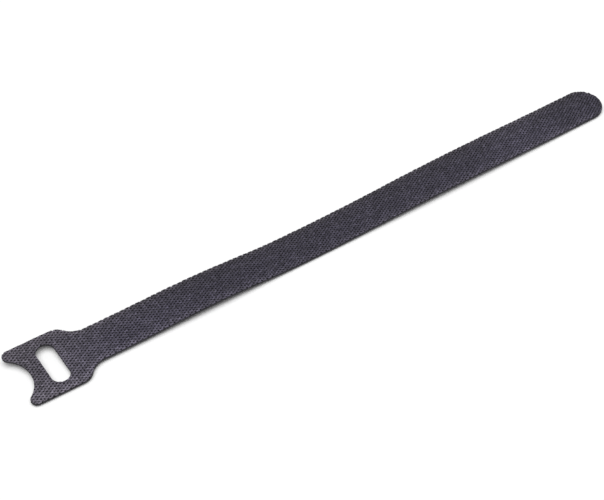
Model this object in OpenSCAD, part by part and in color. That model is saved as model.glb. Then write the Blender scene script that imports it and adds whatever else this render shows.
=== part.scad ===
/* [Strap] */
// Length from the prong tips to the round tip
tie_l = 200; // [180:5:250]
// Width of the strap
strap_w = 12; // [9:0.5:14]
// Thickness from the hooks below to the loops on top
tie_t = 1; // [0.7:0.05:1.6]

/* [Head] */
// Width of the head
head_w = 20.2; // [19:0.2:24]
// Radius of the round end of each prong
prong_r = 1.7; // [1.2:0.1:2.4]
// Depth of the fishtail notch between the prongs
notch_d = 4.1; // [2.5:0.1:5.5]
// Distance from the prong tips to where the shoulders start to round
shoulder_x = 14.6; // [13.7:0.1:18]
// Radius of the shoulders
shoulder_r = 4.4; // [4:0.1:8]
// Radius of the hollow between a shoulder and the strap
neck_r = 6; // [4:0.5:12]

/* [Slot] */
// Width of the slot along the strap
slot_w = 5.8; // [4.5:0.1:6.4]
// Length of the slot across the head
slot_l = 14.9; // [12.5:0.1:16]
// Distance from the prong tips to the middle of the slot
slot_x = 10.6; // [9:0.1:12]

/* [Weave] */
// Distance from one ridge of the weave to the next, square to the ridges
ridge_pitch = 0.826; // [0.7:0.01:1.4]
// Height of a ridge above the grooves beside it
ridge_h = 0.15; // [0.05:0.01:0.25]
// Angle between the ridges and the strap
ridge_angle = 30; // [25:1:40]

/* [Lie on the bench] */
// Sideways bow of the strap at its middle
bow_w = 0.9; // [0.2:0.1:3]
// Sideways lean of the head, which lifts its far side
head_lean = 4; // [0.5:0.5:6]
// Distance from the prong tips to where the head's lean starts to fade
lean_from = 32; // [18:1:40]
// Distance from the prong tips to where the head's lean has gone
lean_to = 84; // [50:1:84]
// Height of the arch behind the head
arch_h = 0.85; // [0.2:0.05:3]
// Distance from the prong tips to the start of the arch
arch_from = 27; // [10:1:30]
// Distance from the prong tips to the top of the arch
arch_top = 60; // [45:1:65]
// Distance from the prong tips to the end of the arch
arch_to = 86; // [75:1:88]
// Height of the long wave before the round tip
wave_h = 0.75; // [0.2:0.05:3]
// Distance from the prong tips to the start of the wave
wave_from = 93; // [92:1:105]
// Distance from the prong tips to the top of the wave
wave_top = 136; // [125:1:155]
// Sideways lean of the round tip, which lifts its far side
tip_lean = 4; // [0.5:0.5:6]
// Distance from the prong tips to where the tip's lean starts
twist_from = 106; // [95:1:120]
// Distance from the prong tips to where the tip's lean is full
twist_to = 160; // [140:1:175]
// Length of the round tip that the wave has left
tip_flat = 3; // [2:1:12]

/* [Hidden] */
$fn = 96;
charcoal = [0.25, 0.24, 0.27];

// Steps between the points along the underside and along the bowed edges
lie_step = 4;
edge_step = 5;
// Number of steps along each ridge of the weave
ridge_steps = 5;
// Room that the tape has beyond the blade that cuts the tie out of it
trim = 2;
// Distance from the bench to the top and bottom of the blocks that are cut away
reach = 12;

// The S-curve from a shoulder to the strap is two arcs that touch
side_step = (head_w - strap_w) / 2;
neck_turn = acos(1 - side_step / (shoulder_r + neck_r));
neck_end = shoulder_x + (shoulder_r + neck_r) * sin(neck_turn);
meet_x = shoulder_x + shoulder_r * sin(neck_turn);
meet_y = head_w / 2 - shoulder_r * (1 - cos(neck_turn));

// The notch is a circle that touches the round end of each prong
prong_y = head_w / 2 - prong_r;
notch_r = (pow(prong_y, 2) + pow(notch_d, 2) - 2 * notch_d * prong_r) / (2 * notch_d);
notch_x = notch_d - notch_r;
touch = prong_r / (notch_r + prong_r);
touch_x = prong_r + (notch_x - prong_r) * touch;
touch_y = prong_y * (1 - touch);

// The strap's middle line is a shallow parabola, and the head runs on straight from its neck
neck_at = neck_end - tie_l / 2;
neck_slope = 8 * bow_w * neck_at / pow(tie_l, 2);
high_side = head_w / 2 - neck_slope * (neck_end - prong_r);
low_side = -head_w / 2 - neck_slope * (neck_end - shoulder_x);
middle_y = bow_w * (1 - pow(2 * neck_at / tie_l, 2)) - (high_side + low_side) / 2;
function centre_y(x) = middle_y - bow_w * (1 - pow(2 * x / tie_l, 2));

// Stations along the tie, spaced evenly and no further apart than a step
function stations(from, to, step) =
    let (n = ceil((to - from) / step))
    [for (i = [0 : n]) from + (to - from) * i / n];

// A smooth rise from 0 to 1 between two stations, and a swell that rises and falls again
function rise(s, from, to) =
    let (t = min(max((s - from) / (to - from), 0), 1))
    t * t * (3 - 2 * t);
function swell(s, from, top, to) = rise(s, from, top) - rise(s, top, to);

// Height of the underside above the bench: the leaning head and tip, the arch and the wave
function lie(x, y) =
    let (s = x + tie_l / 2)
    let (side = y - centre_y(x))
    let (head = tan(head_lean) * (1 - rise(s, lean_from, lean_to)))
    let (tip = tan(tip_lean) * rise(s, twist_from, twist_to))
    let (arch = swell(s, arch_from, arch_top, arch_to))
    let (wave = swell(s, wave_from, wave_top, tie_l - tip_flat))
    head * (side + head_w / 2) + tip * (side + strap_w / 2) + arch * arch_h + wave * wave_h;

// A closed block between two sheets of points, which are lists of rows of equal length
module block(lower, upper) {
    rows = len(lower);
    cols = len(lower[0]);
    n = rows * cols;
    cells = [for (i = [0 : rows - 2], j = [0 : cols - 2]) i * cols + j];
    floor_faces = [for (a = cells) each [[a, a + cols + 1, a + 1], [a, a + cols, a + cols + 1]]];
    roof_faces = [for (f = floor_faces) [f[0] + n, f[2] + n, f[1] + n]];
    rim = [
        for (j = [0 : cols - 2]) j,
        for (i = [0 : rows - 2]) i * cols + cols - 1,
        for (j = [cols - 1 : -1 : 1]) (rows - 1) * cols + j,
        for (i = [rows - 1 : -1 : 1]) i * cols
    ];
    next = [for (k = [0 : len(rim) - 1]) rim[(k + 1) % len(rim)]];
    wall_faces = [
        for (k = [0 : len(rim) - 1])
            each [[rim[k], next[k], next[k] + n], [rim[k], next[k] + n, rim[k] + n]]
    ];
    polyhedron(
        [each for (row = lower) row, each for (row = upper) row],
        concat(floor_faces, roof_faces, wall_faces)
    );
}

// Everything above the underside, where the hooks are, with points at both ends of its level stretch
module above_hooks() {
    level_from = arch_to - tie_l / 2;
    level_to = wave_from - tie_l / 2;
    along = concat(
        stations(-tie_l / 2 - trim, level_from, lie_step),
        stations(level_to, tie_l / 2 - tip_flat, lie_step),
        [tie_l / 2 + trim]
    );
    half = head_w / 2 + trim;
    block(
        [for (x = along) [for (y = [-half, half]) [x, y, lie(x, y)]]],
        [for (x = along) [for (y = [-half, half]) [x, y, reach]]]
    );
}

// Everything below the woven face: its ridges cross the strap on a slant
module below_loops() {
    half = head_w / 2 + trim;
    slant = 1 / tan(ridge_angle);
    ridge_step = ridge_pitch / sin(ridge_angle);
    first = -tie_l / 2 - trim - half * slant;
    count = ceil((tie_l + 2 * trim + 2 * half * slant) / ridge_step);
    across = stations(-half, half, 2 * half / ridge_steps);
    lines = [for (k = [0 : 2 * count]) first + k * ridge_step / 2];
    block(
        [for (line = lines) [for (y = across) [line + y * slant, y, -reach]]],
        [
            for (k = [0 : 2 * count])
                [
                    for (y = across)
                        let (x = lines[k] + y * slant)
                        [x, y, lie(x, y) + tie_t - (k % 2 == 0 ? ridge_h : 0)]
                ]
        ]
    );
}

// The head's outline, from the prong tips at 0 to the end of the neck
module head_outline() {
    difference() {
        union() {
            translate([prong_r, -head_w / 2]) square([shoulder_x - prong_r, head_w]);
            polygon([
                [touch_x, touch_y],
                [touch_x, -touch_y],
                [prong_r, -prong_y],
                [prong_r, prong_y]
            ]);
            translate([shoulder_x, -meet_y]) square([meet_x - shoulder_x, 2 * meet_y]);
            translate([meet_x, -meet_y]) square([neck_end - meet_x, 2 * meet_y]);
            for (side = [-1, 1]) {
                translate([prong_r, side * prong_y]) circle(prong_r);
                translate([shoulder_x, side * (head_w / 2 - shoulder_r)]) circle(shoulder_r);
            }
        }
        translate([notch_x, 0]) circle(notch_r);
        for (side = [-1, 1])
            translate([neck_end, side * (strap_w / 2 + neck_r)]) circle(neck_r);
    }
}

// The slot that the tail is threaded through
module slot_outline() {
    straight = slot_l - slot_w;
    square([slot_w, straight], center = true);
    for (side = [-1, 1])
        translate([0, side * straight / 2]) circle(slot_w / 2);
}

// The bowed strap from the neck to the middle of the round tip
module strap_outline() {
    tip_x = tie_l / 2 - strap_w / 2;
    along = stations(neck_at, tip_x, edge_step);
    polygon([
        for (x = along) [x, centre_y(x) - strap_w / 2],
        for (i = [len(along) - 1 : -1 : 0]) [along[i], centre_y(along[i]) + strap_w / 2]
    ]);
    translate([tip_x, centre_y(tip_x)]) circle(strap_w / 2);
}

// The blade's cut: the whole outline, straight up and down
module die_cut() {
    translate([0, 0, -reach])
        linear_extrude(2 * reach)
            difference() {
                union() {
                    strap_outline();
                    at_neck() head_outline();
                }
                at_neck() translate([slot_x, 0]) slot_outline();
            }
}
module at_neck() {
    translate([neck_at, centre_y(neck_at)])
        rotate(atan(neck_slope))
            translate([-neck_end, 0])
                children();
}

// The tie: back-to-back loop and hook tape, cut out in one piece
module strap() {
    color(charcoal)
        intersection() {
            die_cut();
            above_hooks();
            below_loops();
        }
}

strap();
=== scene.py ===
# %% [markdown]
# # A hook-and-loop cable tie
#
# The tie is one strip of back-to-back tape, cut out by a blade. Its top is a knit of nylon yarn that
# hooks can catch in, and its underside is a plastic film with rows of tiny moulded hooks. From a step
# away the knit reads as dark dots between short slanting bars, so the knit decides the whole look.
#
# This lesson builds the tie as the tape is built: a thin tape, yarn stitches on top of it, a nap of
# fine loops, the ends that the blade cut, and the hooks below. All of it is worked out with numpy.

import bpy
import numpy as np
from mathutils import Matrix


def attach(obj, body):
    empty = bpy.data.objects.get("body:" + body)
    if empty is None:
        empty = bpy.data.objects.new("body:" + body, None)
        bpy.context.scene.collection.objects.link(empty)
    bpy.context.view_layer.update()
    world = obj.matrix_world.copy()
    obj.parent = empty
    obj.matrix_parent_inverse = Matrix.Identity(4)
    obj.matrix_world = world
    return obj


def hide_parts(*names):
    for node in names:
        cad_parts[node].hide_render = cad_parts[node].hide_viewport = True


SEED = 12

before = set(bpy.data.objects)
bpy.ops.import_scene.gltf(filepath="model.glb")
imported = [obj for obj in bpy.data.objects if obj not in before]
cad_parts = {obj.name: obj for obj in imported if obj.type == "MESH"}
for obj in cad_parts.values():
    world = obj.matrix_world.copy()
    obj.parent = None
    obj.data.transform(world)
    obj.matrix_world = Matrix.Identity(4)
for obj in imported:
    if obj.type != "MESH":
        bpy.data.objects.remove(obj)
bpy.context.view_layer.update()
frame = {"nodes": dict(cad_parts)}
dice = np.random.default_rng(SEED)
print("The frame holds", ", ".join(frame["nodes"]))

# %% [markdown]
# ## Sizes
#
# The lengths are in millimetres and are the driving sizes of the solid that this scene dresses, so the
# two always agree. A point of the tape has two coordinates: `u`, its distance from the prong tips
# along the tie, and `v`, its distance from the middle line.

# %% Sizes of the tie
MM = 0.001
TIE_L = 200.0
STRAP_W = 12.0
TIE_T = 1.0
HEAD_W = 20.2
PRONG_R = 1.7
NOTCH_D = 4.1
SHOULDER_X = 14.6
SHOULDER_R = 4.4
NECK_R = 6.0
SLOT_W = 5.8
SLOT_L = 14.9
SLOT_X = 10.6

# The centres of the outline's circles follow from those sizes
PRONG_Y = HEAD_W / 2 - PRONG_R
NOTCH_R = (PRONG_Y**2 + NOTCH_D**2 - 2 * NOTCH_D * PRONG_R) / (2 * NOTCH_D)
NOTCH_X = NOTCH_D - NOTCH_R
SHOULDER_Y = HEAD_W / 2 - SHOULDER_R
NECK_Y = STRAP_W / 2 + NECK_R
NECK_TURN = np.degrees(np.arccos(1 - (HEAD_W - STRAP_W) / 2 / (SHOULDER_R + NECK_R)))
NECK_END = SHOULDER_X + (SHOULDER_R + NECK_R) * np.sin(np.radians(NECK_TURN))
TIP_X = TIE_L - STRAP_W / 2
SLOT_R = SLOT_W / 2
SLOT_SIDE = (SLOT_L - SLOT_W) / 2
print(f"The neck meets the strap {NECK_END:.2f} mm from the prong tips")

# %% [markdown]
# ## How the tie lies
#
# A tie that comes out of a bag is never quite flat. This one bows sideways by a millimetre. Its head
# and its tip both lean, so that their far sides are up. Between them it arches once behind the head and
# once more, in a long low wave, before the tip. `place` bends the flat tape along the bow, and `lie`
# says how high its underside is above the bench.

# %% The bow and the lie
BOW_W = 0.9
HEAD_LEAN = 4.0
LEAN_FROM, LEAN_TO = 32.0, 84.0
ARCH_H = 0.85
ARCH_FROM, ARCH_TOP, ARCH_TO = 27.0, 60.0, 86.0
WAVE_H = 0.75
WAVE_FROM, WAVE_TOP = 93.0, 136.0
TIP_LEAN = 4.0
TWIST_FROM, TWIST_TO = 106.0, 160.0
TIP_FLAT = 3.0

NECK_AT = NECK_END - TIE_L / 2
NECK_SLOPE = 8 * BOW_W * NECK_AT / TIE_L**2
HIGH_SIDE = HEAD_W / 2 - NECK_SLOPE * (NECK_END - PRONG_R)
LOW_SIDE = -HEAD_W / 2 - NECK_SLOPE * (NECK_END - SHOULDER_X)
MIDDLE_Y = BOW_W * (1 - (2 * NECK_AT / TIE_L) ** 2) - (HIGH_SIDE + LOW_SIDE) / 2


def centre_y(x):
    """The bowed middle line: a parabola that is lowest in the middle of the tie."""
    return MIDDLE_Y - BOW_W * (1 - (2 * x / TIE_L) ** 2)


def rise(s, start, end):
    """A smooth step: three times the square of the way gone, less twice its cube."""
    t = np.clip((s - start) / (end - start), 0, 1)
    return t * t * (3 - 2 * t)


def swell(s, start, top, end):
    """A smooth step up and a smooth step down again."""
    return rise(s, start, top) - rise(s, top, end)


def lie(x, y):
    """Height of the underside: the leaning head, plus the leaning tip, plus the arch and the wave."""
    s = x + TIE_L / 2
    side = y - centre_y(x)
    head = np.tan(np.radians(HEAD_LEAN)) * (1 - rise(s, LEAN_FROM, LEAN_TO)) * (side + HEAD_W / 2)
    tip = np.tan(np.radians(TIP_LEAN)) * rise(s, TWIST_FROM, TWIST_TO) * (side + STRAP_W / 2)
    arch = swell(s, ARCH_FROM, ARCH_TOP, ARCH_TO) * ARCH_H
    wave = swell(s, WAVE_FROM, WAVE_TOP, TIE_L - TIP_FLAT) * WAVE_H
    return np.maximum(head + tip + arch + wave, 0)


def place(u, v, level):
    """Bends flat tape onto the bench: u runs along the bow, straight on through the head, v is square
    to it, and level is the height above the underside."""
    x = np.maximum(u, NECK_END) - TIE_L / 2
    turn = np.arctan(8 * BOW_W * x / TIE_L**2)
    past = np.minimum(u - NECK_END, 0)
    bench_x = x + past * np.cos(turn) - v * np.sin(turn)
    bench_y = centre_y(x) + past * np.sin(turn) + v * np.cos(turn)
    return np.stack([bench_x, bench_y, lie(bench_x, bench_y) + level], axis=-1)


# %% [markdown]
# ## The blade's line
#
# The outline is straights and circles that touch: prong, notch, shoulder, neck and tip. Two tools are
# made from them. `outside` gives the distance to the line from anywhere, which tells what the blade
# takes off. `head_edge` walks along the line itself, which a wall can be built on. Yarn frays into the
# slot more than it does at the outer edge, so the slot is drawn a little smaller than the blade is.

# %% Distance to the blade's line
SIDE_FRAY = 0.14
END_FRAY = 0.22
SLOT_RIM = SLOT_R - SIDE_FRAY
SLOT_REACH = SLOT_SIDE - END_FRAY
NUDGE = 0.001
TRIM_STEPS = 2


def left_of(start, end, u, v):
    """True on the left of the line from start to end: the cross product of the two ways is positive."""
    return (end[0] - start[0]) * (v - start[1]) > (end[1] - start[1]) * (u - start[0])


def outside(u, v):
    """Distance outside the blade's line, negative inside: the largest of the distances to the outer
    edge, to the prongs with their notch, and to the slot. A straight between two circles' centres
    says which circle counts."""
    v = np.abs(v)
    strap = np.hypot(np.maximum(u - TIP_X, 0), v) - STRAP_W / 2
    neck = NECK_R - np.hypot(u - NECK_END, v - NECK_Y)
    shoulder = np.hypot(np.maximum(u - SHOULDER_X, 0), np.maximum(v - SHOULDER_Y, 0)) - SHOULDER_R
    on_shoulder = left_of((SHOULDER_X, SHOULDER_Y), (NECK_END, NECK_Y), u, v)
    edge = np.where(u > NECK_END, strap, np.where(on_shoulder, shoulder, neck))
    prong = np.hypot(np.minimum(u - PRONG_R, 0), v - PRONG_Y) - PRONG_R
    notch = NOTCH_R - np.hypot(u - NOTCH_X, v)
    front = np.where(left_of((NOTCH_X, 0), (PRONG_R, PRONG_Y), u, v), prong, notch)
    slot = SLOT_RIM - np.hypot(u - SLOT_X, np.maximum(v - SLOT_REACH, 0))
    return np.maximum(np.maximum(edge, front), slot)


def downhill(u, v):
    """Slope of that distance, by the difference across a tiny step each way."""
    along = outside(u + NUDGE, v) - outside(u - NUDGE, v)
    across = outside(u, v + NUDGE) - outside(u, v - NUDGE)
    return along / (2 * NUDGE), across / (2 * NUDGE)


def trim(u, v, proud):
    """Brings what lies further outside than proud back to there, straight down the distance's slope."""
    for _ in range(TRIM_STEPS):
        over = np.maximum(outside(u, v) - proud, 0)
        along, across = downhill(u, v)
        u = u - over * along
        v = v - over * across
    return u, v


# %% Points along the blade's line
NECK_POINTS = 40
SHOULDER_POINTS = 24
SIDE_POINTS = 40
PRONG_POINTS = 24
NOTCH_POINTS = 30


def arc(centre, radius, start, end, count):
    """Points on a circle, from one angle in degrees to another."""
    angle = np.radians(np.linspace(start, end, count))
    return np.stack([centre[0] + radius * np.cos(angle), centre[1] + radius * np.sin(angle)], axis=-1)


def head_edge():
    """The head's outer edge from one side of the neck round to the other, the far half and its mirror:
    neck arc, shoulder arc, side, prong arc and notch arc."""
    bite = np.degrees(np.arctan2(PRONG_Y, PRONG_R - NOTCH_X))
    far_half = np.concatenate(
        [
            arc((NECK_END, NECK_Y), NECK_R, -90, -90 - NECK_TURN, NECK_POINTS)[:-1],
            arc((SHOULDER_X, SHOULDER_Y), SHOULDER_R, 90 - NECK_TURN, 90, SHOULDER_POINTS)[:-1],
            np.linspace((SHOULDER_X, HEAD_W / 2), (PRONG_R, HEAD_W / 2), SIDE_POINTS)[:-1],
            arc((PRONG_R, PRONG_Y), PRONG_R, 90, 180 + bite, PRONG_POINTS)[:-1],
            arc((NOTCH_X, 0), NOTCH_R, bite, 0, NOTCH_POINTS),
        ]
    )
    return np.concatenate([far_half, (far_half * [1, -1])[-2::-1]])


print(f"The head's edge has {len(head_edge())} points")

# %% [markdown]
# ## From arrays to pieces
#
# A mesh takes its points and corners as flat lists, and `foreach_set` hands over a whole array at
# once. Three array helpers do the rest: one joins a grid of points with four-sided faces, one does so
# for many tubes and closes their ends, and one welds points that fall together, so that neighbouring
# grids share their edge.

# %% Mesh helpers
WELD_DIGITS = 4


def grid_faces(rows, columns, closed=False):
    """Four corners for each cell of a grid of points that is numbered row by row."""
    last = columns if closed else columns - 1
    row, column = np.meshgrid(np.arange(rows - 1), np.arange(last), indexing="ij")
    here = row * columns + column
    beside = row * columns + (column + 1) % columns
    return np.stack([here, beside, beside + columns, here + columns], axis=-1).reshape(-1, 4)


def tube_faces(count, rings, sides):
    """Faces of equal tubes whose points are numbered tube by tube and ring by ring: four-sided ones
    along each tube, and one for each of its ends."""
    first = np.arange(count)[:, None, None] * rings * sides
    walls = grid_faces(rings, sides, closed=True) + first
    cap = np.arange(sides)
    caps = np.stack([cap[::-1], cap + (rings - 1) * sides]) + first
    return walls.reshape(-1, 4), caps.reshape(-1, sides)


def weld(points, faces):
    """Merges points that agree to a ten-thousandth of a millimetre."""
    rounded = np.round(points, WELD_DIGITS)
    _, first, index = np.unique(rounded, axis=0, return_index=True, return_inverse=True)
    return points[first], index.reshape(-1)[faces]


def make_piece(name, points, face_groups, smooth=True, values=None):
    """An object at the origin from points in millimetres, arrays of faces with one number of corners
    each, and named values at the points."""
    mesh = bpy.data.meshes.new(name)
    corners = np.concatenate([faces.ravel() for faces in face_groups])
    sizes = np.concatenate([np.full(len(faces), faces.shape[1]) for faces in face_groups])
    mesh.vertices.add(len(points))
    mesh.vertices.foreach_set("co", (points * MM).ravel())
    mesh.loops.add(len(corners))
    mesh.loops.foreach_set("vertex_index", corners)
    mesh.polygons.add(len(sizes))
    mesh.polygons.foreach_set("loop_start", np.cumsum(sizes) - sizes)
    mesh.polygons.foreach_set("use_smooth", np.full(len(sizes), smooth))
    mesh.update(calc_edges=True)
    for title, numbers in (values or {}).items():
        layer = mesh.attributes.new(title, "FLOAT", "POINT")
        layer.data.foreach_set("value", numbers.ravel())
    piece = bpy.data.objects.new(name, mesh)
    bpy.context.scene.collection.objects.link(piece)
    triangles = int((sizes - 2).sum())
    print(f"{name}: {triangles} triangles")
    return piece


# %% [markdown]
# ## The tape
#
# The knit and the hook film are bonded into one thin tape before the cut. Its plan is a grid without
# a pole or a seam: rings run round the slot in the head, and rows run from the neck into the round
# tip, whose last row is the tip's own arc. The grid is then thickened, with walls on every edge that
# belongs to one face only, and those are just the edges that the blade made.

# %% Plan of the tape
ACROSS = 25
HEAD_RINGS = 14
STRAP_STEP = 0.8
TIP_ROWS = 15


def head_plan():
    """Rings between slot and edge. Each point of the edge looks straight at the slot's middle line,
    and meets the slot's own edge one slot radius before it."""
    seam = np.linspace((NECK_END, -STRAP_W / 2), (NECK_END, STRAP_W / 2), ACROSS)[1:-1]
    edge = np.concatenate([head_edge(), seam])
    middle = np.stack([np.full(len(edge), SLOT_X), np.clip(edge[:, 1], -SLOT_REACH, SLOT_REACH)], axis=-1)
    way = edge - middle
    inner = middle + way * SLOT_RIM / np.linalg.norm(way, axis=1, keepdims=True)
    share = np.linspace(0, 1, HEAD_RINGS)[:, None, None]
    points = inner + (edge - inner) * share
    return points.reshape(-1, 2), grid_faces(HEAD_RINGS, len(edge), closed=True)


def strap_plan():
    """Straight rows from the neck to half a width before the tip's middle, then rows that turn into its
    arc: each is a mix of the last straight row and the half circle."""
    last = TIP_X - STRAP_W / 2
    rows = np.linspace(NECK_END, last, int((last - NECK_END) / STRAP_STEP))[:, None]
    side = np.linspace(-1, 1, ACROSS)
    run = np.stack([rows + 0 * side, 0 * rows + side * STRAP_W / 2], axis=-1)
    tip = arc((TIP_X, 0), STRAP_W / 2, -90, 90, ACROSS)
    share = np.linspace(0, 1, TIP_ROWS + 1)[1:, None, None]
    turn = run[-1] * (1 - share) + tip * share
    points = np.concatenate([run, turn])
    return points.reshape(-1, 2), grid_faces(len(points), ACROSS)


def tape_plan():
    """The head's rings and the strap's rows, welded at the neck and wound the same way."""
    head, head_faces = head_plan()
    strap, strap_faces = strap_plan()
    faces = np.concatenate([head_faces[:, ::-1], strap_faces[:, ::-1] + len(head)])
    return weld(np.concatenate([head, strap]), faces)


# %% The tape as a closed solid
HOOK_H = 0.45
GROUND_TOP = 0.62
RIM_SPREAD = 0.10
RIM_LIFT = 0.2


def open_edges(faces):
    """The edges that only one face has, each in its face's own direction."""
    starts = faces.ravel()
    ends = np.roll(faces, -1, axis=1).ravel()
    key = np.minimum(starts, ends) * (faces.max() + 1) + np.maximum(starts, ends)
    _, index, uses = np.unique(key, return_inverse=True, return_counts=True)
    alone = uses[index.reshape(-1)] == 1
    return starts[alone], ends[alone]


def make_tape():
    """Two copies of the plan, one at the film's underside and one at the knit's ground, and a wall of
    four-sided faces along the blade's line. The blade presses the rim out a little, and the upper copy's
    rim up as well, by amounts that die away inwards as the exponential of the distance."""
    plan, faces = tape_plan()
    u, v = plan.T
    along, across = downhill(u, v)
    pressed = np.exp(np.minimum(outside(u, v), 0) / RIM_SPREAD)
    u = u + RIM_SPREAD * pressed * along
    v = v + RIM_SPREAD * pressed * across
    lower = place(u, v, HOOK_H)
    upper = place(u, v, GROUND_TOP + RIM_LIFT * pressed)
    starts, ends = open_edges(faces)
    walls = np.stack([ends, starts, starts + len(plan), ends + len(plan)], axis=-1)
    level = np.repeat([0.0, 1.0], len(plan))
    return make_piece(
        "tape",
        np.concatenate([lower, upper]),
        [faces[:, ::-1], faces + len(plan), walls],
        smooth=False,
        values={"level": level},
    )


tape = make_tape()

# %% [markdown]
# ## The knit
#
# The yarn runs in slanting columns of stitches, which knitters call wales. Each wale sways from side
# to side, touches its neighbours in turn and leaves an open pit where they part: these are the dark
# dots. They lie on a lattice of equal triangles. Every stitch is a plump bar that lies over the end of
# the one before it. Towards the tip the tape was pulled taut, so there the sway is small, the stitches
# are slim, and the dots run together into grooves.

# %% The lattice of stitches
STITCH_PITCH = 0.954
WALE_ANGLE = np.radians(30)
WALE_STEP = STITCH_PITCH * np.cos(WALE_ANGLE)
WALE_SHARES = 3
CUT_REACH = 0.55


def slant(s, m):
    """From distance along a wale and square to it, to the tape's own coordinates: a turn by 30 degrees."""
    u = s * np.cos(WALE_ANGLE) - m * np.sin(WALE_ANGLE)
    v = s * np.sin(WALE_ANGLE) + m * np.cos(WALE_ANGLE)
    return u, v


def lattice(share):
    """Wale number and distance along it for each stitch that reaches inside the cut, of every third
    wale. Pits lie a whole number of pitches apart, and half a pitch further on from wale to wale."""
    reach = int((TIE_L + HEAD_W) / WALE_STEP)
    wale, stitch = np.meshgrid(np.arange(-reach, reach), np.arange(-reach, reach), indexing="ij")
    s = (stitch + wale / 2 + 0.5) * STITCH_PITCH
    u, v = slant(s, (wale + 0.5) * WALE_STEP)
    kept = (outside(u, v) < CUT_REACH) & (wale % WALE_SHARES == share)
    return wale[kept], s[kept]


# %% [markdown]
# ## What changes along and across the tie
#
# The same knit looks different from place to place. The head is paler than the strap and its violet
# cast is nearly gone. The edges are paler and greyer too. Each such change is three numbers: how much
# it is, where it starts and where it ends. Those along the tie are in millimetres from the prong tips,
# and those across it are shares of the way to the far edge.

# %% Changes from place to place
TAUT_HEAD = (0.16, 14, 36)
TAUT_STRAP = (0.05, 20, 50)
TAUT_WAVE = (0.10, 138, 156)
TAUT_TIP = (0.50, 172, 190)

PALE_HEAD = (0.74, 6, 34)
PALE_NECK = (0.32, 30, 66)
PALE_WAVE = 0.28
PALE_WAVE_SPAN = (144, 170, 192)
STRAP_TONE = 1.05
NEAR_FRINGE = (0.45, 0, 0.2)
NEAR_FADE = (0.05, 0.1, 0.5)
FAR_FRINGE = (0.3, 0.85, 1)

GREY_HEAD = (0.85, 2, 34)
GREY_NEAR = (0.3, 0, 0.2)
GREY_FAR_HALF = (0.25, 0.5, 0.7)
GREY_FAR = (0.65, 0.8, 0.97)

HEAD_NARROWS = 14
CLOUD_WAVES = 14
CLOUD_SPREAD = (0.7, 1.5)
CLOUD_SIZES = (6, 2.2)
CLOUD_DEPTH = 0.03


def comes(s, change):
    """A change that is nothing before it starts and full past its end, by a smooth step."""
    amount, start, end = change
    return amount * rise(s, start, end)


def goes(s, change):
    """A change that is full before it starts and nothing past its end."""
    amount, start, end = change
    return amount * (1 - rise(s, start, end))


def tautness(u):
    """How taut the tape was pulled: a little in the head, least behind it, more in the wave and most
    at the tip."""
    return goes(u, TAUT_HEAD) + comes(u, TAUT_STRAP) + comes(u, TAUT_WAVE) + comes(u, TAUT_TIP)


def far_side(u, v):
    """Where a point is between the near edge, 0, and the far edge, 1."""
    half = STRAP_W / 2 + (HEAD_W - STRAP_W) / 2 * (1 - rise(u, HEAD_NARROWS, NECK_END))
    return np.clip(0.5 + v / (2 * half), 0, 1)


def neutral(u, v):
    """How far the violet has gone from the yarn: most of it in the head and at the far edge, a third
    of it at the near edge."""
    far = far_side(u, v)
    edges = goes(far, GREY_NEAR) + comes(far, GREY_FAR_HALF) + comes(far, GREY_FAR)
    return 1 - (1 - goes(u, GREY_HEAD)) * (1 - edges)


def cloud(u, v, size):
    """Slow variation between about -1 and 1: a sum of cosines whose waves are about size long and run
    in random directions."""
    heading = dice.uniform(0, 2 * np.pi, CLOUD_WAVES)
    wave = 2 * np.pi / (size * dice.uniform(*CLOUD_SPREAD, CLOUD_WAVES))
    start = dice.uniform(0, 2 * np.pi, CLOUD_WAVES)
    way = u[..., None] * np.cos(heading) + v[..., None] * np.sin(heading)
    return np.cos(way * wave + start).sum(axis=-1) / np.sqrt(CLOUD_WAVES)


def tone(u, v):
    """How light the yarn is: lightest in the head, and lighter again before the tip, with a light
    fringe at both edges and small clouds all over."""
    far = far_side(u, v)
    wave = PALE_WAVE * swell(u, *PALE_WAVE_SPAN)
    along = 1 + goes(u, PALE_HEAD) + goes(u, PALE_NECK) + wave
    across = STRAP_TONE + goes(far, NEAR_FRINGE) - comes(far, NEAR_FADE) + comes(far, FAR_FRINGE)
    clouds = sum(CLOUD_DEPTH * cloud(u, v, size) for size in CLOUD_SIZES)
    return along * across * (1 + clouds)


# %% [markdown]
# ## Dots and grooves
#
# The pits would be dark by themselves if every turn of the yarn were modelled. Here three waves over
# the plan, which peak together in every pit, give a value that darkens the yarn around it: painted shade.

# %% Painted shade in the pits
DOT_ACROSS, DOT_ALONG, DOT_OTHER = 0.8, 0.7, 1.5
DOT_WEIGHT = DOT_ACROSS + DOT_ALONG + DOT_OTHER
DOT_SIZE = 0.3
DOT_POWER = 1.2
GROOVE_SHARE = 0.6
DOT_FADE = (0.16, 20, 50)


def pit_waves(s, m):
    """The three waves that all peak in the pits: from wale to wale, and along both other rows of pits."""
    across = 2 * np.pi * m / WALE_STEP
    along = 2 * np.pi * s / STITCH_PITCH - across / 2
    return np.cos(across), np.cos(along), np.cos(along + across)


def painted_pit_shade(s, m, taut):
    """How much painted shade the yarn gets by its place in the plan, from 0 to 1. Dots are the weighted
    mean of the three waves, raised by their size and cut off at 0. One wave counts for more, so that the
    dots reach for each other along its rows. Grooves between the wales are the first wave, brought
    between 0 and 1 and squared, and they take over where the tape is taut."""
    across, along, other = pit_waves(s, m)
    mean = (DOT_ACROSS * across + DOT_ALONG * along + DOT_OTHER * other) / DOT_WEIGHT
    dots = np.maximum(mean + DOT_SIZE, 0) / (1 + DOT_SIZE)
    grooves = (across + 1) / 2
    return dots**DOT_POWER * (1 - GROOVE_SHARE * taut) + grooves**2 * GROOVE_SHARE * taut


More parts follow.
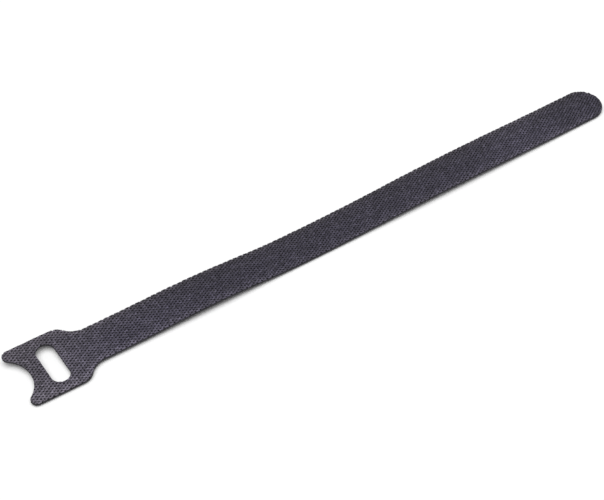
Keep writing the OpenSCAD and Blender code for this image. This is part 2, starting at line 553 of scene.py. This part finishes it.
# %% [markdown]
# ## The stitches
#
# A stitch is a short tube whose rings follow the wale's sway. The blade takes off what sticks out past
# its line, so those points are brought back to it, bar a little that stays proud, as frayed yarn does.
# A stitch whose middle is beyond the line stays less proud, or its flap would stand free, and so does
# one at the near edge, where the photograph shows the cut wall.

# %% Sizes of a stitch
RINGS = 9
SIDES = 8
CROWDING = 0.38
STITCH_L = 1.30
STITCH_W = 0.88
STITCH_H = 0.50
STITCH_NECK = 0.4
STITCH_DIP = 0.06
STITCH_TILT = 0.03
SECTION = 0.7
CREST = 1.10
WALE_SWAY = 0.23
TIP_SWAY = 0.07
TIP_WIDTH = 0.90
WALE_LAP = 0.01

# How much stitches differ from each other
WIDTHS = (0.93, 1.07)
LIFT = 0.04
STRAY = 0.03
PROUD = (0.12, 0.24)
BEYOND_TUCK = 0.6
NEAR_PROUD = 0.4


# %% The stitches
PIT_DEPTH = 0.34
CUT_RIM = 0.12
SHADE_POWER = 1.5
DOT_STRENGTHS = (0.8, 1.2)


def stitch_tubes(wale, middle):
    """Each stitch is a tube on its wale's swaying path. The tube is fullest in the middle and falls off
    with the fourth power of the way to its ends, which stick inside its neighbours. Its crest falls off
    with the square, and it tilts a little, so that one end lies over the stitch before it. The points
    round it crowd towards the top, by a cubic."""
    one_each = (len(wale), 1, 1)
    line = (wale + 0.5) * WALE_STEP
    middle_u, middle_v = slant(middle, line)
    taut = tautness(middle_u).reshape(one_each)
    beyond = np.clip(outside(middle_u, middle_v) / CUT_REACH, 0, 1).reshape(one_each)
    far = far_side(middle_u, middle_v).reshape(one_each)
    x = np.linspace(-1, 1, RINGS)[None, :, None]
    turn = np.linspace(-1, 1, SIDES, endpoint=False)[None, None, :]
    around = np.pi / 2 + np.pi * turn * (1 - CROWDING + CROWDING * turn**2)
    size = dice.uniform(*WIDTHS, one_each) * (1 - (1 - TIP_WIDTH) * taut)
    lift = dice.uniform(-LIFT, LIFT, one_each)
    stray = dice.uniform(-STRAY, STRAY, one_each)
    proud = dice.uniform(*PROUD, one_each)
    proud = proud * (1 - BEYOND_TUCK * beyond) * (NEAR_PROUD + (1 - NEAR_PROUD) * far)
    s = middle.reshape(one_each) + x * STITCH_L / 2
    sway = WALE_SWAY + (TIP_SWAY - WALE_SWAY) * taut
    path = sway * np.cos(2 * np.pi * (s / STITCH_PITCH - wale.reshape(one_each) / 2)) + stray
    fullness = 1 - STITCH_NECK * x**4
    side = path + fullness * size * STITCH_W / 2 * np.cos(around)
    room = WALE_STEP / 2 + WALE_LAP
    m = line.reshape(one_each) + np.clip(side, -room, room)
    crest = CREST - STITCH_H / 2 - STITCH_DIP * x**2 - STITCH_TILT * x + lift
    height = np.sign(np.sin(around)) * np.abs(np.sin(around)) ** SECTION
    level = crest + fullness * STITCH_H / 2 * height
    return s, m, level, taut, proud


def make_stitches(name, share):
    """The tubes of one share of the wales, with what the yarn's colour needs at each point: the
    stitch's own shade, the depth in the knit, the nearness of the cut rim, and the values by place.
    At the rim the depth counts only over the rim's width under the crest, so painted shade keeps the cut
    wall dark."""
    wale, middle = lattice(share)
    s, m, level, taut, proud = stitch_tubes(wale, middle)
    u, v = trim(*slant(s, m), proud)
    rim = np.exp(np.minimum(outside(u, v) - proud, 0) / CUT_RIM)
    shade = np.broadcast_to(dice.uniform(0, 1, proud.shape) ** SHADE_POWER, level.shape)
    strength = dice.uniform(*DOT_STRENGTHS, proud.shape) * (1 - comes(u, DOT_FADE))
    # Near the rim the depth counts from just under the crest, which paints the cut wall dark: painted
    # shade
    floor = GROUND_TOP + rim * (CREST - GROUND_TOP - CUT_RIM)
    depth = np.clip((level - floor) / (PIT_DEPTH + rim * (CUT_RIM - PIT_DEPTH)), 0, 1)
    return make_piece(
        name,
        place(u, v, level).reshape(-1, 3),
        tube_faces(len(wale), RINGS, SIDES),
        values={
            "shade": shade,
            "depth": depth,
            "rim": rim,
            # Painted shade of the pits and grooves
            "dark": painted_pit_shade(s, m, taut) * strength,
            "tone": tone(u, v),
            "neutral": neutral(u, v),
        },
    )


wales = [make_stitches(f"wales_{share + 1}", share) for share in range(WALE_SHARES)]

# %% [markdown]
# ## Nap and cut ends
#
# A few filaments stand up from the knit in fine arches, and these are what the hooks catch. Where the
# blade went through, short ends stick out of the edge and catch the light. Their pale colour is partly
# their own and partly a painted glint. Both are thin threads with three sides, so that thousands of
# them stay cheap.

# %% Threads
THREAD_SIDES = 3
THREAD_ENDS = (0.12, 0.88)


def make_threads(name, u, v, level, radius):
    """Thin tubes along paths of points, with a triangle round each point: its two directions are a
    level one square to the path, and straight up. The radius goes with the square root of a sine, so
    that a thread is thickest in the middle."""
    count, steps = u.shape
    heading = np.arctan2(v[:, -1] - v[:, 0], u[:, -1] - u[:, 0])[:, None, None]
    around = np.linspace(0, 2 * np.pi, THREAD_SIDES, endpoint=False)[None, None, :]
    taper = radius * np.sqrt(np.sin(np.pi * np.linspace(*THREAD_ENDS, steps)))[None, :, None]
    ring_u = u[:, :, None] - taper * np.cos(around) * np.sin(heading)
    ring_v = v[:, :, None] + taper * np.cos(around) * np.cos(heading)
    ring_level = level[:, :, None] + taper * np.sin(around)
    points = place(ring_u, ring_v, ring_level).reshape(-1, 3)
    tubes, ends = tube_faces(count, steps, THREAD_SIDES)
    shade = np.broadcast_to(dice.uniform(0, 1, (count, 1, 1)), ring_u.shape)
    return make_piece(name, points, [tubes[:, ::-1], ends[:, ::-1]], values={"shade": shade})


# %% Nap
NAP_COUNT = 6000
NAP_POINTS = 5
NAP_R = 0.020
NAP_INSET = 0.35
NAP_REACH = (0.35, 0.8)
NAP_HEIGHT = (0.06, 0.18)
NAP_FOOT = TIE_T - 0.1


def make_nap():
    """Arches between two feet: the way across is even, and the height is a parabola. Twice as many
    places are drawn as are wanted, because many of them lie beside the strap."""
    u = dice.uniform(0, TIE_L, NAP_COUNT * 2)
    v = dice.uniform(-HEAD_W / 2, HEAD_W / 2, NAP_COUNT * 2)
    kept = outside(u, v) < -NAP_INSET
    u = u[kept][:NAP_COUNT, None]
    v = v[kept][:NAP_COUNT, None]
    t = np.linspace(0, 1, NAP_POINTS)[None, :]
    heading = dice.uniform(0, 2 * np.pi, u.shape)
    reach = dice.uniform(*NAP_REACH, u.shape)
    height = dice.uniform(*NAP_HEIGHT, u.shape)
    path_u = u + (t - 0.5) * reach * np.cos(heading)
    path_v = v + (t - 0.5) * reach * np.sin(heading)
    level = NAP_FOOT + height * 4 * t * (1 - t)
    return make_threads("nap", path_u, path_v, level, NAP_R)


nap = make_nap()

# %% Cut ends
END_DRAWS = 60000
END_MARGIN = 1
END_POINTS = 3
END_R = 0.025
END_DEPTH = 0.06
END_BAND = 0.05
END_REACH = (0.08, 0.26)
END_SKEW = 0.7
END_LEVEL = (0.62, 0.96)
END_CLIMB = (-0.08, 0.06)


def make_cut_ends():
    """Short ends along the blade's line. They start in a narrow band just inside it, run down the
    distance's slope with some skew, and climb or sink a little."""
    u = dice.uniform(-END_MARGIN, TIE_L + END_MARGIN, END_DRAWS)
    v = dice.uniform(-HEAD_W / 2 - END_MARGIN, HEAD_W / 2 + END_MARGIN, END_DRAWS)
    kept = np.abs(outside(u, v) + END_DEPTH) < END_BAND
    u = u[kept][:, None]
    v = v[kept][:, None]
    along, across = downhill(u, v)
    t = np.linspace(0, 1, END_POINTS)[None, :]
    reach = dice.uniform(*END_REACH, u.shape)
    skew = dice.uniform(-END_SKEW, END_SKEW, u.shape)
    path_u = u + t * reach * (along - skew * across)
    path_v = v + t * reach * (across + skew * along)
    level = dice.uniform(*END_LEVEL, u.shape) + t * dice.uniform(*END_CLIMB, u.shape)
    return make_threads("cut_ends", path_u, path_v, level, END_R)


cut_ends = make_cut_ends()

# %% [markdown]
# ## The hooks
#
# The film's underside carries rows of moulded hooks. Each is a flat finger that leaves the film on a
# wide foot, thins as it goes down, and curls forwards and up again at the bench. Rows face opposite
# ways in turn, so that the tie holds whichever way it is pulled.

# %% Hooks
HOOK_ROW = 0.92
HOOK_STEP = 1.10
HOOK_INSET = 0.5
HOOK_RINGS = 7
HOOK_STEM = 3
HOOK_SIDES = 4
HOOK_CURL = 0.10
HOOK_THICK = (0.15, 0.06)
HOOK_WIDE = (0.34, 0.20)


def hook_shape():
    """How far forward, how far to the side and how high each corner of a hook is. Its path goes straight
    down, then round half of a small circle, and carries a four-sided profile whose thickness and width
    fall evenly. The heights are then stretched, so that the lowest is 0 and the film's stays."""
    stem = np.linspace((0, HOOK_H), (0, HOOK_CURL), HOOK_STEM)[:-1]
    curl = arc((HOOK_CURL, HOOK_CURL), HOOK_CURL, 180, 360, HOOK_RINGS - len(stem))
    path = np.concatenate([stem, curl])
    ahead = np.gradient(path, axis=0)
    ahead /= np.linalg.norm(ahead, axis=1, keepdims=True)
    thick = np.linspace(*HOOK_THICK, HOOK_RINGS)[:, None] / 2 * np.array([1, 1, -1, -1])
    aside = np.linspace(*HOOK_WIDE, HOOK_RINGS)[:, None] / 2 * np.array([-1, 1, 1, -1])
    forward = path[:, :1] + ahead[:, 1:] * thick
    level = path[:, 1:] - ahead[:, :1] * thick
    return forward, aside, level - level.min() * (1 - level / HOOK_H)


def make_hooks():
    """The same hook at each point of a grid whose odd rows are shifted by half a step. A hook that
    faces back is turned by half a turn, which changes the sign of both its ways in the plan."""
    rows = int(HEAD_W / HOOK_ROW)
    steps = int(TIE_L / HOOK_STEP)
    row, step = np.meshgrid(np.arange(rows), np.arange(steps), indexing="ij")
    u = (step + 0.5 + 0.5 * (row % 2)) * HOOK_STEP
    v = (row - (rows - 1) / 2) * HOOK_ROW
    kept = outside(u, v) < -HOOK_INSET
    facing = np.where(row % 2 == 0, 1.0, -1.0)[kept][:, None, None]
    forward, aside, level = hook_shape()
    hook_u = u[kept][:, None, None] + facing * forward
    hook_v = v[kept][:, None, None] + facing * aside
    points = place(hook_u, hook_v, level)
    tubes, ends = tube_faces(len(points), HOOK_RINGS, HOOK_SIDES)
    return make_piece("hooks", points.reshape(-1, 3), [tubes[:, ::-1], ends[:, ::-1]], smooth=False)


hooks = make_hooks()

# %% [markdown]
# ## Shader sums
#
# A material is easier to read as a formula than as a web of nodes. `Value` wraps one socket: an
# operator on it adds the Math node for that sum, and `make` adds any other node.

# %% The socket wrapper
# Numbers of the sockets of a Mix node for colours
MIX_FACTOR, MIX_LOW, MIX_HIGH, MIX_RESULT = 0, 6, 7, 2


class Value:
    """One output of a shader's node. Sums with it add Math nodes, and make adds any other node."""

    def __init__(self, tree, socket=None):
        self.tree = tree
        self.socket = socket

    def make(self, kind, settings=None, inputs=None, output=0):
        """Adds a node: first its settings, then the values or links of its sockets."""
        node = self.tree.nodes.new("ShaderNode" + kind)
        for name, setting in (settings or {}).items():
            setattr(node, name, setting)
        for name, value in (inputs or {}).items():
            if isinstance(value, Value):
                self.tree.links.new(value.socket, node.inputs[name])
            else:
                node.inputs[name].default_value = value
        return Value(self.tree, node.outputs[output])

    def maths(self, operation, first, second):
        """One Math node of the named operation."""
        return self.make("Math", {"operation": operation}, {0: first, 1: second})

    def __add__(self, other):
        return self.maths("ADD", self, other)

    def __radd__(self, other):
        return self.maths("ADD", other, self)

    def __sub__(self, other):
        return self.maths("SUBTRACT", self, other)

    def __rsub__(self, other):
        return self.maths("SUBTRACT", other, self)

    def __mul__(self, other):
        return self.maths("MULTIPLY", self, other)

    def __rmul__(self, other):
        return self.maths("MULTIPLY", other, self)

    def __pow__(self, other):
        return self.maths("POWER", self, other)

    def __rpow__(self, other):
        return self.maths("POWER", other, self)

    def at_least(self, low):
        """This value, or the low one where it falls below that."""
        return self.maths("MAXIMUM", self, low)

    def between(self, low, high):
        """From low where this value is 0 to high where it is 1."""
        return low + self * (high - low)

    def blend(self, low, high):
        """A colour from low where this value is 0 to high where it is 1."""
        inputs = {MIX_FACTOR: self, MIX_LOW: low, MIX_HIGH: high}
        return self.make("Mix", {"data_type": "RGBA"}, inputs, output=MIX_RESULT)

    def scaled(self, factor):
        """This colour made lighter or darker."""
        return self.make("VectorMath", {"operation": "SCALE"}, {0: self, "Scale": factor})


def new_material(name, **constants):
    """A material, its shader and an empty Value in its tree. The constants go straight onto the
    shader's sockets: each is named as its socket, with underscores and small letters."""
    material = bpy.data.materials.new(name)
    material.use_nodes = True
    shader = material.node_tree.nodes["Principled BSDF"]
    for title, number in constants.items():
        shader.inputs[title.replace("_", " ").title().replace("Ior", "IOR")].default_value = number
    return material, shader, Value(material.node_tree)


def feed(shader, title, value):
    """Links a varying value to one of the shader's sockets."""
    value.tree.links.new(value.socket, shader.inputs[title])


# %% [markdown]
# ## Finishes
#
# The nylon is charcoal with a violet cast, which is nearly gone in the head and at the far edge. The
# yarn is painted lightest on its crests and darkest deep in the pits: painted shade. The filaments in
# it are fine streaks along the wale, and a fine mottle breaks up the rest. Where a factor varies, it
# is written as the two values that it goes between.

# %% Patterns
# Numbers of the outputs of a Texture Coordinate and an Attribute node
OBJECT_COORDINATES = 3
FACTOR = 2

NOISE_DETAIL = 2.0
NOISE_LOW, NOISE_HIGH = 0.35, 0.65
STREAK_SCALE = (1500, 11000, 11000)


def noise(value, position, scale):
    """Noise that uses the whole way from 0 to 1: the middle of its own range, stretched."""
    raw = value.make("TexNoise", None, {"Vector": position, "Scale": scale, "Detail": NOISE_DETAIL})
    return raw.make("MapRange", None, {"Value": raw, "From Min": NOISE_LOW, "From Max": NOISE_HIGH})


def patches(value, size):
    """Cloudy variation in the piece's own coordinates, with patches of the given size in millimetres."""
    return noise(value, value.make("TexCoord", output=OBJECT_COORDINATES), 1 / (size * MM))


def filament_streaks(value):
    """Streaks along the wales: coordinates turned with the wales, then squeezed more across them."""
    position = value.make("TexCoord", output=OBJECT_COORDINATES)
    turned = value.make("Mapping", None, {"Vector": position, "Rotation": (0, 0, -WALE_ANGLE)})
    squeezed = value.make("Mapping", None, {"Vector": turned, "Scale": STREAK_SCALE})
    return noise(value, squeezed, 1.0)


def stored(value, name):
    """A number that the mesh holds at each point."""
    return value.make("Attribute", {"attribute_name": name}, output=FACTOR)


def bump(value, height, strength, distance):
    """Small bumps from a height between 0 and 1, with their distance in millimetres."""
    return value.make("Bump", None, {"Height": height, "Strength": strength, "Distance": distance * MM})


# %% Yarn
VIOLET = (0.0530, 0.0480, 0.0698, 1)
NEUTRAL = (0.0530, 0.0480, 0.0582, 1)
# Depth in the knit and the pits give painted shade, and the cut rim a painted highlight
YARN_DEPTHS = (0.10, 1.0)
YARN_SHADES = (0.75, 1.35)
YARN_STREAKS = (0.7, 1.4)
YARN_RIM_HIGHLIGHT = (1.0, 1.2)
YARN_MOTTLE = (0.5, 1.5)
MOTTLE_SIZE = 0.33
PIT_DARK = 1.02
PIT_LIGHT = 0.03
YARN_BUMP = (0.6, 0.02)


def yarn_material():
    """Colour is a mix of violet and neutral charcoal, times one factor each for the square of the depth
    in the knit, which is painted shade, the shade of the stitch, the streaks, the tone of the place, the
    painted shade of the pits, the painted highlight on the cut rim and the mottle."""
    material, shader, value = new_material(
        "nylon_yarn", roughness=0.7, specular_ior_level=0.2, sheen_weight=0.05
    )
    streaks = filament_streaks(value)
    depth = stored(value, "depth")
    # Painted shade: the yarn darkens with the square of its depth in the knit
    light = (depth * depth).between(*YARN_DEPTHS) * stored(value, "shade").between(*YARN_SHADES)
    light = light * streaks.between(*YARN_STREAKS) * stored(value, "tone")
    # Painted shade in the pits and grooves
    light = light * (1 - stored(value, "dark") * PIT_DARK).at_least(PIT_LIGHT)
    # Painted highlight along the cut rim
    light = light * stored(value, "rim").between(*YARN_RIM_HIGHLIGHT)
    light = light * patches(value, MOTTLE_SIZE).between(*YARN_MOTTLE)
    feed(shader, "Base Color", stored(value, "neutral").blend(VIOLET, NEUTRAL).scaled(light))
    feed(shader, "Normal", bump(value, streaks, *YARN_BUMP))
    return material


# %% Tape, hooks and threads
FILM = (0.080, 0.076, 0.088, 1)
# The ground's near black is painted shade
GROUND_SHADE = (0.014, 0.013, 0.016, 1)
WALL_SHADE_POWER = 0.3
GRAIN_SIZE = 0.4
TAPE_GRAIN = (0.8, 1.2)
TAPE_BUMP = (0.4, 0.05)
MOULDED_DARK = (0.080, 0.076, 0.086, 1)
MOULDED_LIGHT = (0.115, 0.110, 0.122, 1)
RIPPLE_SIZE = 1.5
HOOK_BUMP = (0.3, 0.04)
FILAMENT_DARK = (0.07, 0.066, 0.078, 1)
# Part of the filaments' paleness is a painted glint
FILAMENT_PALE_GLINT = (0.38, 0.36, 0.39, 1)


def tape_material():
    """The knit's ground is nearly black as painted shade, since no light gets down to it, and the film
    below is charcoal. Between them, the low power of the level keeps most of the cut wall in painted
    shade."""
    material, shader, value = new_material("bonded_tape", roughness=0.6)
    grain = patches(value, GRAIN_SIZE)
    # The level's low power paints most of the cut wall dark: painted shade
    colour = (stored(value, "level") ** WALL_SHADE_POWER).blend(FILM, GROUND_SHADE)
    feed(shader, "Base Color", colour.scaled(grain.between(*TAPE_GRAIN)))
    feed(shader, "Normal", bump(value, grain, *TAPE_BUMP))
    return material


def hook_material():
    """Moulded nylon: glossier than the yarn, with a faint ripple from the mould."""
    material, shader, value = new_material("moulded_hooks", roughness=0.42)
    ripple = patches(value, RIPPLE_SIZE)
    feed(shader, "Base Color", ripple.blend(MOULDED_DARK, MOULDED_LIGHT))
    feed(shader, "Normal", bump(value, ripple, *HOOK_BUMP))
    return material


def thread_material():
    """Single filaments are paler than the yarn, partly as light comes through them and partly as a painted
    glint.
    """
    material, shader, value = new_material("filaments", roughness=0.5, sheen_weight=0.2)
    feed(shader, "Base Color", stored(value, "shade").blend(FILAMENT_DARK, FILAMENT_PALE_GLINT))
    return material


# %% Finish each piece
yarn = yarn_material()
thread = thread_material()
finishes = {wale: yarn for wale in wales}
finishes |= {
    tape: tape_material(),
    nap: thread,
    cut_ends: thread,
    hooks: hook_material(),
}
for piece, material in finishes.items():
    piece.data.materials.append(material)
    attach(piece, "root")
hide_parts("strap")
print(f"{len(finishes)} pieces have their finish")

# %% [markdown]
# ## Bench, light and camera
#
# The tie was photographed on white under a broad soft light from nearly overhead, which leans a little
# towards the camera. A low dome of light fills the shadows, a wide sun gives them their side, and the
# floor is a plain white. The camera looks down at 44 degrees through a 100 mm lens.

# %% Floor
FLOOR_HALF = 1500.0
WHITE = (0.93, 0.93, 0.93, 1)


def make_floor():
    """One large white square under the tie."""
    corners = FLOOR_HALF * np.array([[-1, -1, 0], [1, -1, 0], [1, 1, 0], [-1, 1, 0]])
    floor = make_piece("floor", corners, [np.array([[0, 1, 2, 3]])], smooth=False)
    material = new_material("white_bench", base_color=WHITE, roughness=0.9, specular_ior_level=0.0)[0]
    floor.data.materials.append(material)


make_floor()

# %% Light
DOME = 0.28
SUN = 2.70
SUN_ANGLE = 78
SUN_TURN = (5, -8, 0)


def make_light():
    """An even white dome, which the camera sees as white, and one wide sun."""
    world = bpy.data.worlds.new("studio")
    bpy.context.scene.world = world
    world.use_nodes = True
    dome = world.node_tree.nodes["Background"]
    dome.inputs["Color"].default_value = (1, 1, 1, 1)
    seen = Value(world.node_tree).make("LightPath")
    feed(dome, "Strength", seen.between(DOME, 1))
    sun = bpy.data.lights.new("sun", "SUN")
    sun.energy = SUN
    sun.angle = np.radians(SUN_ANGLE)
    lamp = bpy.data.objects.new("sun", sun)
    lamp.rotation_euler = np.radians(SUN_TURN).tolist()
    bpy.context.scene.collection.objects.link(lamp)


make_light()

# %% Camera
LENS = 100.0
CLIP_START = 0.01
AZIMUTH, ELEVATION, ROLL = np.radians([-32.132, 44.217, -2.46])
DISTANCE = 475.5
TARGET = np.array([-10.745, -1.446, 0.0])


def make_camera():
    """The camera stands back from its target along azimuth and elevation, and is rolled a little."""
    back = np.array(
        [np.sin(AZIMUTH) * np.cos(ELEVATION), -np.cos(AZIMUTH) * np.cos(ELEVATION), np.sin(ELEVATION)]
    )
    level = np.array([np.cos(AZIMUTH), np.sin(AZIMUTH), 0])
    upright = np.cross(back, level)
    right = np.cos(ROLL) * level + np.sin(ROLL) * upright
    up = np.cross(back, right)
    turn = np.eye(4)
    turn[:3, 0] = right
    turn[:3, 1] = up
    turn[:3, 2] = back
    turn[:3, 3] = (TARGET + DISTANCE * back) * MM
    lens = bpy.data.cameras.new("camera")
    lens.lens = LENS
    lens.clip_start = CLIP_START
    camera = bpy.data.objects.new("camera", lens)
    camera.matrix_world = Matrix(turn.tolist())
    bpy.context.scene.collection.objects.link(camera)
    bpy.context.scene.camera = camera


make_camera()
bpy.context.scene.view_settings.view_transform = "Standard"

# %% [markdown]
# ## Last step
#
# The dressed tie has to stay inside the solid's box, bar about 0.2 mm of fray and nap. The view
# layer is brought up to date at the end.

# %% Finish
bpy.context.view_layer.update()
